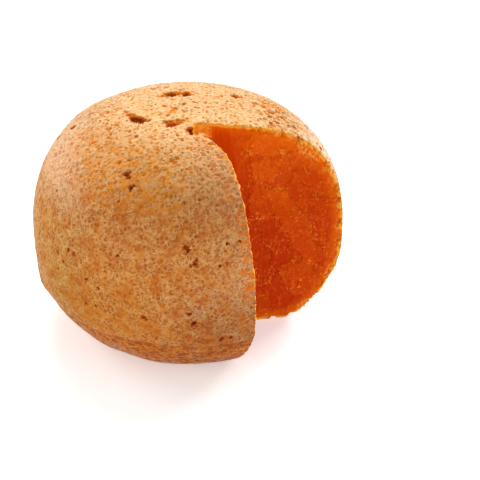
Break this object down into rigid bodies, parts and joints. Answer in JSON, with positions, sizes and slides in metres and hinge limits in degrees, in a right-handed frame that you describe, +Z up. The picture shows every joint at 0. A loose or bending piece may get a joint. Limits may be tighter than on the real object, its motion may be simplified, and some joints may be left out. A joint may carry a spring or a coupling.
{
  "type": "mimolette cheese",
  "caption": "Ball-shaped hard orange cheese with a pitted brown rind and a wedge cut out of it from top to flat foot, standing on that foot.",
  "frame": {"origin": "middle of the flat foot, on the ball's axis, at the surface that the cheese rests on", "axes": "+Z up along the ball's axis; the cut-out wedge opens towards +X and -Y"},
  "size_m": [0.201, 0.201, 0.1483],
  "materials": {
    "rind": "dry, matt, pumice-like tan and brown crust with many fine pits",
    "paste": "dense deep orange cheese, slightly waxy, with flaky fracture steps"
  },
  "bodies": {
    "root": {"cheese": "rind"}
  },
  "joints": []
}
